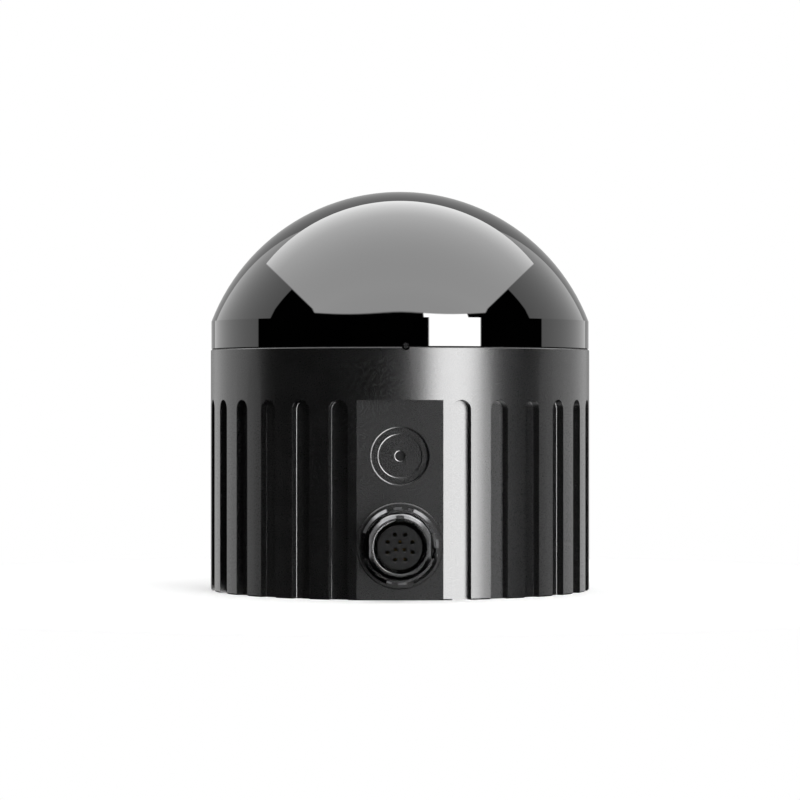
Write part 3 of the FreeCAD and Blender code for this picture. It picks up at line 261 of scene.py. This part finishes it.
def black_anodised(name):
    """Blasted and anodised aluminium: satin black with a very fine tooth."""
    return mottled(name, grey(0.006), grey(0.009), (0.26, 0.3), 4 * MM, 0.11 * MM,
                   0.35 * MICRON, IOR=1.44)[0]


def dome_window(name):
    """Polished plastic that is black to the eye."""
    return mottled(name, grey(0.0002), grey(0.0005), (0.012, 0.022), 12 * MM, 0.6 * MM,
                   0.02 * MICRON, IOR=1.5)[0]


def seal_rubber(name):
    return mottled(name, grey(0.010), grey(0.018), (0.55, 0.72), 1.5 * MM, 0.09 * MM,
                   2.5 * MICRON, IOR=1.5)[0]


def pin_black(name):
    """Filled black plastic, moulded in a satin mould."""
    return mottled(name, grey(0.004), grey(0.007), (0.22, 0.26), 0.5 * MM, 0.05 * MM,
                   0.3 * MICRON, IOR=1.42)[0]


def vent_black(name):
    """Moulded black plastic, with a faint matt texture."""
    return mottled(name, grey(0.005), grey(0.008), (0.22, 0.3), 2 * MM, 0.08 * MM,
                   0.5 * MICRON, IOR=1.5)[0]


def membrane(name):
    """Expanded film, coloured dark as painted shade for the vent's hole, with the stretched fibres
    in its bump.
    """
    return mottled(name, grey(0.008), grey(0.014), (0.6, 0.8), 0.4 * MM, 0.05 * MM,
                   3 * MICRON, Specular_IOR_Level=0.08)[0]


def black_chrome(name):
    """Dark plated metal, turned, with fine tool marks round the receptacle's axis."""
    material, tree, shader = mottled(name, grey(0.085), grey(0.105), (0.22, 0.28), 0.8 * MM,
                                     0.07 * MM, 0.15 * MICRON, Metallic=1.0)
    low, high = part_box("receptacle_shell")
    middle = (Vector(low) + Vector(high)) / 2
    marks = bands(tree, 0.06 * MM, "Y", rings=True, offset=(-middle.x, 0, -middle.z))
    raise_surface(tree, shader, marks, 0.12 * MICRON)
    return material


def machined(name, dark, light, rough, pitch, depth, axis="Z"):
    """Bright turned or ground metal, with tool marks round an axis."""
    material, tree, shader = mottled(name, dark, light, rough, 1.2 * MM, 0.05 * MM,
                                     0.2 * MICRON, Metallic=1.0)
    raise_surface(tree, shader, bands(tree, pitch, axis, rings=True), depth)
    return material


def steel_dark(name):
    return machined(name, grey(0.09), grey(0.13), (0.25, 0.36), 0.12 * MM, 0.4 * MICRON)


def steel_bright(name):
    return machined(name, (0.55, 0.54, 0.52), (0.62, 0.61, 0.6), (0.18, 0.28), 0.1 * MM,
                    0.3 * MICRON)


def bearing_steel(name):
    return machined(name, (0.6, 0.6, 0.61), (0.66, 0.66, 0.67), (0.06, 0.11), 0.05 * MM,
                    0.05 * MICRON)


def cage_brass(name):
    return machined(name, (0.62, 0.44, 0.17), (0.72, 0.53, 0.22), (0.25, 0.36), 0.08 * MM,
                    0.3 * MICRON)


# Gold darkened below its own colour: painted shade for the deep sockets that hold the contacts.
def gold_contact(name):
    return mottled(name, (0.40, 0.28, 0.10), (0.48, 0.34, 0.13), (0.2, 0.3), 0.3 * MM,
                   0.03 * MM, 0.2 * MICRON, Metallic=1.0)[0]


def board_green(name):
    """Solder resist over copper tracks: the tracks stand up a little and show lighter."""
    material, tree, shader = new_finish(name, IOR=1.5, Coat_Weight=0.25, Coat_Roughness=0.2)
    cells = tree.nodes.new("ShaderNodeTexVoronoi")
    cells.feature = "DISTANCE_TO_EDGE"
    cells.inputs["Scale"].default_value = 1 / (2.2 * MM)
    tree.links.new(place(tree), cells.inputs["Vector"])
    tracks = rescale(tree, cells.outputs["Distance"], 0.05, 0.09, 1, 0, smooth=True)
    tree.links.new(blend_colours(tree, tracks, (0.006, 0.05, 0.02), (0.016, 0.11, 0.04)),
                   shader.inputs["Base Color"])
    fine = noise(tree, 0.15 * MM)
    tree.links.new(rescale(tree, fine, 0.25, 0.75, 0.3, 0.42), shader.inputs["Roughness"])
    raise_surface(tree, shader, tracks, 18 * MICRON)
    return material


def flex_amber(name):
    """Thin film lead with its conductors lengthwise."""
    material, tree, shader = new_finish(name, IOR=1.6)
    lines = bands(tree, 0.5 * MM, "X")
    tree.links.new(blend_colours(tree, lines, (0.16, 0.055, 0.008), (0.42, 0.19, 0.03)),
                   shader.inputs["Base Color"])
    tree.links.new(rescale(tree, noise(tree, 0.3 * MM), 0.25, 0.75, 0.22, 0.34),
                   shader.inputs["Roughness"])
    raise_surface(tree, shader, lines, 8 * MICRON)
    return material


def chip_black(name):
    return mottled(name, grey(0.012), grey(0.02), (0.5, 0.65), 1.5 * MM, 0.06 * MM,
                   2 * MICRON, IOR=1.5)[0]


def pad_grey(name):
    return mottled(name, (0.22, 0.25, 0.28), (0.28, 0.31, 0.34), (0.6, 0.75), 0.8 * MM,
                   0.1 * MM, 6 * MICRON, IOR=1.45)[0]


def brass_post(name):
    return mottled(name, (0.55, 0.38, 0.13), (0.65, 0.47, 0.18), (0.22, 0.34), 0.8 * MM,
                   0.05 * MM, 0.4 * MICRON, Metallic=1.0)[0]


def bare_aluminium(name):
    return machined(name, (0.72, 0.73, 0.74), (0.78, 0.79, 0.8), (0.24, 0.34), 0.15 * MM,
                    0.5 * MICRON)


def lamination(name):
    """A stack of thin steel sheets: their edges are fine level lines."""
    material, tree, shader = mottled(name, grey(0.18), grey(0.25), (0.35, 0.48), 1 * MM,
                                     0.06 * MM, 0.5 * MICRON, Metallic=1.0)
    raise_surface(tree, shader, bands(tree, 0.35 * MM, "Z"), 12 * MICRON)
    return material


def copper(name):
    """Enamelled wire: each turn is a ridge at its own distance from the spin axis."""
    material, tree, shader = new_finish(name, Metallic=0.9, Coat_Weight=0.6, Coat_Roughness=0.12)
    turns = bands(tree, 0.26 * MM, "Z", rings=True)
    # The colour goes dark between the turns: painted shade in the creases between them.
    tree.links.new(blend_colours(tree, turns, (0.22, 0.06, 0.02), (0.72, 0.3, 0.13)),
                   shader.inputs["Base Color"])
    tree.links.new(rescale(tree, noise(tree, 0.4 * MM), 0.25, 0.75, 0.24, 0.36),
                   shader.inputs["Roughness"])
    raise_surface(tree, shader, turns, 60 * MICRON)
    return material


def magnet_nickel(name):
    return mottled(name, (0.5, 0.48, 0.44), (0.58, 0.56, 0.52), (0.2, 0.32), 1 * MM,
                   0.06 * MM, 0.6 * MICRON, Metallic=1.0)[0]


def ferrite(name):
    """Pressed and fired ceramic: dark, dry, with small pits."""
    return mottled(name, (0.022, 0.02, 0.019), (0.04, 0.037, 0.035), (0.55, 0.72), 0.7 * MM,
                   0.12 * MM, 3 * MICRON)[0]


def encoder_steel(name):
    return machined(name, grey(0.38), grey(0.46), (0.2, 0.3), 0.08 * MM, 0.2 * MICRON)


def weight_tungsten(name):
    return mottled(name, grey(0.2), grey(0.27), (0.35, 0.5), 0.5 * MM, 0.05 * MM,
                   1.5 * MICRON, Metallic=1.0)[0]


def coated_glass(name):
    """Lens glass with a green-violet coating that keeps reflections down."""
    return mottled(name, (0.01, 0.03, 0.028), (0.03, 0.012, 0.05), (0.01, 0.03), 6 * MM,
                   0.4 * MM, 0.02 * MICRON, IOR=1.6, Coat_Weight=0.5, Coat_Roughness=0.02)[0]


def baffle_black(name):
    return mottled(name, grey(0.006), grey(0.011), (0.7, 0.85), 1 * MM, 0.08 * MM,
                   4 * MICRON, IOR=1.45)[0]


FINISHES = {make.__name__: make for make in (
    black_anodised, dome_window, seal_rubber, pin_black, vent_black, membrane, black_chrome,
    steel_dark, steel_bright, bearing_steel, cage_brass, gold_contact, board_green, flex_amber,
    chip_black, pad_grey, brass_post, bare_aluminium, lamination, copper, magnet_nickel, ferrite,
    encoder_steel, weight_tungsten, coated_glass, baffle_black,
)}


def dress_nodes():
    """Gives every solid the finish of its slot."""
    made = {slot: make(slot) for slot, make in FINISHES.items()}
    for row in frame["record"]["subparts"]:
        mesh = frame["nodes"][row["node"]].data
        mesh.materials.clear()
        mesh.materials.append(made[row["material_slot"]])
    return made


# The receptacle's shell and nut

def thread_radius(turn, out):
    """Radius of the thread at an angle and a distance out from the panel. The crest and the two
    flanks take their shares of the pitch."""
    phase = (out / THREAD_PITCH - turn / (2 * math.pi)) % 1
    fall = (abs(phase - 0.5) * 2 - THREAD_CREST) / THREAD_FLANK
    return SHELL_RADIUS - THREAD_DEPTH * min(max(fall, 0), 1)


def columns_round(*edges):
    """Angles of the columns: evenly round, with a close pair at every given edge."""
    turns = [math.radians(360 / COLUMNS * i) for i in range(COLUMNS)]
    for edge in edges:
        turns += [edge - EDGE_HALF_ANGLE, edge + EDGE_HALF_ANGLE]
    return sorted(turns)


def off_top(turn):
    """The angle away from the top of the ring, without its sign."""
    return abs((turn - math.pi / 2 + math.pi) % (2 * math.pi) - math.pi)


def thread_rows(turn, flat, end):
    """The thread from the flange out to where the lip's slope begins."""
    rows = math.ceil((end - FLANGE_FRONT) / THREAD_PITCH * THREAD_STEPS)
    outs = [FLANGE_FRONT + (end - FLANGE_FRONT) * i / rows for i in range(rows + 1)]
    return [(min(thread_radius(turn, out), flat), out) for out in outs]


def lip_rows(turn, flat):
    """The slope in front of the thread, with the index mark's flat-bottomed notch in it."""
    edge = SHELL_BORE + LIP_ROUND + LIP_LAND
    slope = math.tan(math.radians(LIP_SLOPE))
    low, high = MARK_RADII
    marked = off_top(turn) < math.asin(MARK_HALF / low)
    floor = SHELL_REACH - (high - edge) * slope
    rows = []
    for radius, in_notch in ((high + EDGE_BREAK, False), (high, True), (low, True),
                             (low - EDGE_BREAK, False), (edge, False)):
        out = SHELL_REACH - (radius - edge) * slope
        rows.append((min(radius, flat), min(out, floor) if in_notch and marked else out))
    return rows


def bore_rows(turn):
    """The rounded inner edge and the bore, or the keyway that runs through both."""
    if off_top(turn) < math.asin(KEYWAY_HALF / SHELL_BORE):
        return [(KEYWAY_RADIUS, SHELL_REACH)] * (LIP_ROUND_STEPS + 2) + [(KEYWAY_RADIUS, BORE_BACK)]
    middle = SHELL_BORE + LIP_ROUND
    arc = [math.pi / 2 * i / LIP_ROUND_STEPS for i in range(LIP_ROUND_STEPS + 1)]
    rows = [(middle + EDGE_BREAK / 2, SHELL_REACH)]
    rows += [(middle - LIP_ROUND * math.sin(a), SHELL_REACH - LIP_ROUND * (1 - math.cos(a)))
             for a in arc]
    return rows + [(SHELL_BORE, BORE_BACK)]


def shell_column(turn):
    """One column of the shell's surface, as (radius, distance out) pairs: up the outside from
    the back to the front, then down the bore."""
    flat = SHELL_FLAT / max(abs(math.cos(turn)), 0.1)
    slope = math.tan(math.radians(LIP_SLOPE))
    thread_end = SHELL_REACH - (SHELL_RADIUS - SHELL_BORE - LIP_ROUND - LIP_LAND) * slope
    seal_out = SEAL_RADIUS + SEAL_HALF
    seal_in = SEAL_RADIUS - SEAL_HALF
    seal_floor = FLANGE_FRONT - SEAL_DEPTH
    column = [
        (TAIL_BORE, TAIL_BACK), (TAIL_RADIUS - EDGE_BREAK, TAIL_BACK),
        (TAIL_RADIUS, TAIL_BACK + EDGE_BREAK), (TAIL_RADIUS, FLANGE_BACK),
        (FLANGE_RADIUS - EDGE_BREAK, FLANGE_BACK), (FLANGE_RADIUS, FLANGE_BACK + EDGE_BREAK),
        (FLANGE_RADIUS, FLANGE_FRONT - EDGE_BREAK), (FLANGE_RADIUS - EDGE_BREAK, FLANGE_FRONT),
        (seal_out, FLANGE_FRONT), (seal_out, seal_floor), (seal_in, seal_floor),
        (seal_in, FLANGE_FRONT),
    ]
    column += thread_rows(turn, flat, thread_end) + lip_rows(turn, flat) + bore_rows(turn)
    return column + [(TAIL_BORE, BORE_BACK)]


def nut_column(turn):
    """One column of the nut: up the outside, over the cone and the front, down the bore."""
    inner = NUT_RADIUS - NUT_CONE
    slotted = any(off_top(turn + math.pi / 2 * i) < math.asin(NUT_SLOT_HALF / inner)
                  for i in range(4))
    limit = inner if slotted else NUT_RADIUS
    cone_back = NUT_REACH - NUT_CONE * math.tan(math.radians(NUT_SLOPE))
    column = [
        (NUT_BORE, NUT_BACK), (NUT_RADIUS, NUT_BACK), (NUT_RADIUS, cone_back), (inner, NUT_REACH),
        (NUT_BORE + NUT_BORE_CHAMFER, NUT_REACH), (NUT_BORE, NUT_REACH - NUT_BORE_CHAMFER),
    ]
    return [(min(radius, limit), out) for radius, out in column]


def make_round(name, node, turns, column_of, finish):
    """A round piece on the receptacle's axis, from its columns. It rides with the housing."""
    low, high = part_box("receptacle_shell")
    across = (low[0] + high[0]) / 2
    up = (low[2] + high[2]) / 2
    panel = low[1] + SHELL_REACH
    columns = [column_of(turn) for turn in turns]
    count = len(columns[0])
    points = [(across + radius * math.cos(turn), panel - out, up + radius * math.sin(turn))
              for turn, column in zip(turns, columns) for radius, out in column]
    faces = []
    for i in range(len(turns)):
        here = i * count
        there = (i + 1) % len(turns) * count
        for j in range(count):
            k = (j + 1) % count
            faces.append((here + j, there + j, there + k, here + k))
    mesh = bpy.data.meshes.new(name)
    mesh.from_pydata(points, [], faces)
    tidy = bmesh.new()
    tidy.from_mesh(mesh)
    bmesh.ops.remove_doubles(tidy, verts=tidy.verts, dist=MICRON)
    tidy.to_mesh(mesh)
    tidy.free()
    mesh.polygons.foreach_set("use_smooth", [True] * len(mesh.polygons))
    mesh.set_sharp_from_angle(angle=math.radians(SHARP_ANGLE))
    mesh.materials.append(finish)
    piece = bpy.data.objects.new(name, mesh)
    bpy.context.scene.collection.objects.link(piece)
    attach(piece, "base")
    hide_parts(node)


def make_receptacle(finish):
    """The shell with its real thread, two flats, lip, keyway and index mark, and its nut."""
    keyway = math.asin(KEYWAY_HALF / SHELL_BORE)
    mark = math.asin(MARK_HALF / MARK_RADII[0])
    slot = math.asin(NUT_SLOT_HALF / (NUT_RADIUS - NUT_CONE))
    top = math.pi / 2
    make_round("threaded_shell", "receptacle_shell",
               columns_round(top - keyway, top + keyway, top - mark, top + mark),
               shell_column, finish)
    slots = [top * i + side * slot for i in range(4) for side in (-1, 1)]
    make_round("slotted_nut", "receptacle_nut", columns_round(*slots), nut_column, finish)


# Studio

def make_camera():
    data = bpy.data.cameras.new("camera")
    data.lens = CAMERA_LENS
    data.sensor_width = SENSOR_WIDTH
    data.clip_start = 10 * MM
    data.clip_end = 100
    camera = bpy.data.objects.new("camera", data)
    camera.location = (0, -CAMERA_DISTANCE, CAMERA_HEIGHT)
    camera.rotation_euler = (math.radians(90), 0, 0)
    bpy.context.scene.collection.objects.link(camera)
    bpy.context.scene.camera = camera


def seen_ray(tree):
    """One for rays that the camera, a reflection or a clear body sends out."""
    path = tree.nodes.new("ShaderNodeLightPath")
    seen = calc(tree, "MAXIMUM", path.outputs["Is Glossy Ray"], path.outputs["Is Transmission Ray"])
    return path.outputs["Is Camera Ray"], calc(tree, "MAXIMUM", path.outputs["Is Camera Ray"], seen)


def studio_radiance(tree):
    """What a reflection sees of the studio, by direction."""
    coordinates = tree.nodes.new("ShaderNodeTexCoord")
    axes = tree.nodes.new("ShaderNodeSeparateXYZ")
    tree.links.new(coordinates.outputs["Generated"], axes.inputs[0])
    x, y, z = axes.outputs
    azimuth = calc(tree, "DEGREES", calc(tree, "ARCTAN2", x, calc(tree, "MULTIPLY", y, -1.0)))
    off_centre = calc(tree, "ABSOLUTE", azimuth)
    elevation = calc(tree, "DEGREES", calc(tree, "ARCSINE", z))

    def past_corner(value, low, high):
        """How far a direction lies past the middle stretch that has no rounded corner."""
        off = calc(tree, "ABSOLUTE", calc(tree, "SUBTRACT", value, (low + high) / 2))
        return calc(tree, "MAXIMUM", calc(tree, "SUBTRACT", off, (high - low) / 2 - CORNER_RADIUS),
                    0.0)

    def card(across, azimuths, heights, radiance):
        off = calc(tree, "SQRT", calc(
            tree, "ADD", calc(tree, "POWER", past_corner(across, *azimuths), 2.0),
            calc(tree, "POWER", past_corner(elevation, *heights), 2.0)))
        return rescale(tree, off, CORNER_RADIUS - EDGE_SOFTNESS, CORNER_RADIUS + EDGE_SOFTNESS,
                       radiance, 0, smooth=True)

    above = calc(tree, "MAXIMUM", z, 0.0001)
    top_x = calc(tree, "ABSOLUTE", calc(tree, "DIVIDE", x, above))
    top_y = calc(tree, "DIVIDE", y, above)
    bow = calc(tree, "MULTIPLY", calc(tree, "POWER", top_x, TOP_FRONT_POWER), TOP_FRONT_BOW)
    straightened = calc(tree, "SUBTRACT", top_y, bow)
    top = calc(tree, "MULTIPLY", between(tree, top_x, -1.0, TOP_HALF_WIDTH, TOP_SOFTNESS),
               calc(tree, "MULTIPLY",
                    between(tree, straightened, TOP_FRONT, 2 * TOP_BACK, TOP_SOFTNESS),
                    between(tree, top_y, 2 * TOP_FRONT, TOP_BACK, TOP_SOFTNESS)))
    top_radiance = rescale(tree, top_y, *TOP_FADE, TOP_FRONT_RADIANCE, TOP_BACK_RADIANCE)
    below_top = calc(tree, "SUBTRACT", 1.0, top)
    cards = [
        calc(tree, "MULTIPLY", below_top,
             card(azimuth, KEY_AZIMUTH, KEY_ELEVATION, KEY_RADIANCE)),
        card(off_centre, SIDE_AZIMUTH, SIDE_ELEVATION, SIDE_RADIANCE),
        card(off_centre, BACKDROP_AZIMUTH, BACKDROP_ELEVATION, BACKDROP_RADIANCE),
        calc(tree, "MULTIPLY", top, top_radiance),
    ]
    total = ROOM_RADIANCE
    for one in cards:
        total = calc(tree, "MAXIMUM", one, total)
    return total


def make_world():
    """White to the camera, the studio to reflections, and even light for everything else."""
    world = bpy.data.worlds.new("studio")
    bpy.context.scene.world = world
    world.use_nodes = True
    tree = world.node_tree
    background = tree.nodes["Background"]
    background.inputs["Color"].default_value = (1, 1, 1, 1)
    camera_ray, seen = seen_ray(tree)
    reflected = calc(tree, "MULTIPLY", calc(tree, "SUBTRACT", seen, camera_ray),
                     studio_radiance(tree))
    even = calc(tree, "MULTIPLY", calc(tree, "SUBTRACT", 1.0, seen), AMBIENT)
    strength = calc(tree, "ADD", calc(tree, "ADD", camera_ray, reflected), even)
    tree.links.new(strength, background.inputs["Strength"])


def area_lamp(name, location, target, size, radiance):
    """A soft rectangle of light. Reflections don't see it: they see the world's cards."""
    data = bpy.data.lights.new(name, "AREA")
    data.shape = "RECTANGLE"
    data.size, data.size_y = size
    data.energy = radiance * size[0] * size[1] * math.pi
    lamp = bpy.data.objects.new(name, data)
    lamp.location = location
    lamp.rotation_euler = (Vector(target) - Vector(location)).to_track_quat("-Z", "Y").to_euler()
    lamp.visible_glossy = False
    bpy.context.scene.collection.objects.link(lamp)


def make_floor():
    """A pale round table that takes the shadow. The photograph shows no reflection of it."""
    mesh = bpy.data.meshes.new("floor")
    turn = 2 * math.pi / FLOOR_SIDES
    rim = [(FLOOR_RADIUS * math.cos(turn * i), FLOOR_RADIUS * math.sin(turn * i), 0)
           for i in range(FLOOR_SIDES)]
    mesh.from_pydata(rim, [], [tuple(range(FLOOR_SIDES))])
    floor = bpy.data.objects.new("floor", mesh)
    bpy.context.scene.collection.objects.link(floor)
    material, tree, shader = new_finish("pale_floor", Roughness=0.9)
    tint = blend_colours(tree, noise(tree, 300 * MM), (0.79, 0.79, 0.79), (0.81, 0.81, 0.81))
    tree.links.new(tint, shader.inputs["Base Color"])
    shader.inputs["Emission Color"].default_value = (1, 1, 1, 1)
    tree.links.new(calc(tree, "MULTIPLY", seen_ray(tree)[1], FLOOR_LIFT),
                   shader.inputs["Emission Strength"])
    mesh.materials.append(material)
    floor.visible_glossy = False


make_camera()
finishes = dress_nodes()
make_receptacle(finishes["black_chrome"])
make_floor()
make_world()
area_lamp("overhead", OVERHEAD_PLACE, OVERHEAD_TARGET, OVERHEAD_SIZE, OVERHEAD_RADIANCE)
area_lamp("key", KEY_LAMP_PLACE, KEY_LAMP_TARGET, KEY_LAMP_SIZE, KEY_LAMP_RADIANCE)

bpy.context.scene.view_settings.view_transform = "Standard"
